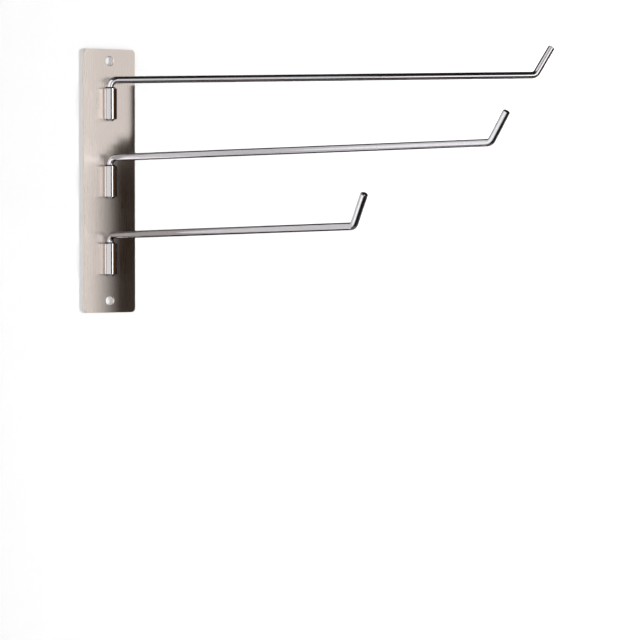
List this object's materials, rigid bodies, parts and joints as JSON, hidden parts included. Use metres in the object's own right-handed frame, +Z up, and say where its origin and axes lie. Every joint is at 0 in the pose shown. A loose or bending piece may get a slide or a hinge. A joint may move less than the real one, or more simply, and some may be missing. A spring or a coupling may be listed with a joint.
{
  "type": "swivel towel rail",
  "caption": "Wall-mounted brushed steel towel rail: upright plate with welded tube sleeves, each holding a bent round rod arm with an upturned tip that swings sideways.",
  "frame": {"origin": "centre of the plate's back face, which lies on the wall", "axes": "+X to the right along the wall seen from the front, +Y into the wall, +Z up"},
  "size_m": [0.4264, 0.4379, 0.2529],
  "materials": {
    "plate_steel": "satin, brushed up and down",
    "tube_steel": "polished tube",
    "weld_seam": "fine ground seam",
    "bush_plastic": "matt black",
    "rod_steel": "bright drawn rod, lightly polished",
    "clip_steel": "blackened spring steel"
  },
  "bodies": {
    "wall_bracket": {"wall_plate": "plate_steel", "sleeve_upper": "tube_steel", "sleeve_middle": "tube_steel", "sleeve_lower": "tube_steel", "weld_upper_left": "weld_seam", "weld_upper_right": "weld_seam", "weld_middle_left": "weld_seam", "weld_middle_right": "weld_seam", "weld_lower_left": "weld_seam", "weld_lower_right": "weld_seam", "bush_upper": "bush_plastic", "bush_middle": "bush_plastic", "bush_lower": "bush_plastic"},
    "upper_arm": {"arm_upper": "rod_steel", "clip_upper": "clip_steel"},
    "middle_arm": {"arm_middle": "rod_steel", "clip_middle": "clip_steel"},
    "lower_arm": {"arm_lower": "rod_steel", "clip_lower": "clip_steel"}
  },
  "joints": [
    {"name": "upper_swivel", "type": "hinge", "parent": "wall_bracket", "child": "upper_arm", "pos_m": [-0.003, -0.00835, 0.0715], "axis": [0, 0, -1], "range_deg": [-20.8, 159.2]},
    {"name": "middle_swivel", "type": "hinge", "parent": "wall_bracket", "child": "middle_arm", "pos_m": [-0.003, -0.00835, -0.0005], "axis": [0, 0, -1], "range_deg": [-67.4, 112.6]},
    {"name": "lower_swivel", "type": "hinge", "parent": "wall_bracket", "child": "lower_arm", "pos_m": [-0.003, -0.00835, -0.0725], "axis": [0, 0, -1], "range_deg": [-90.9, 89.1]}
  ]
}
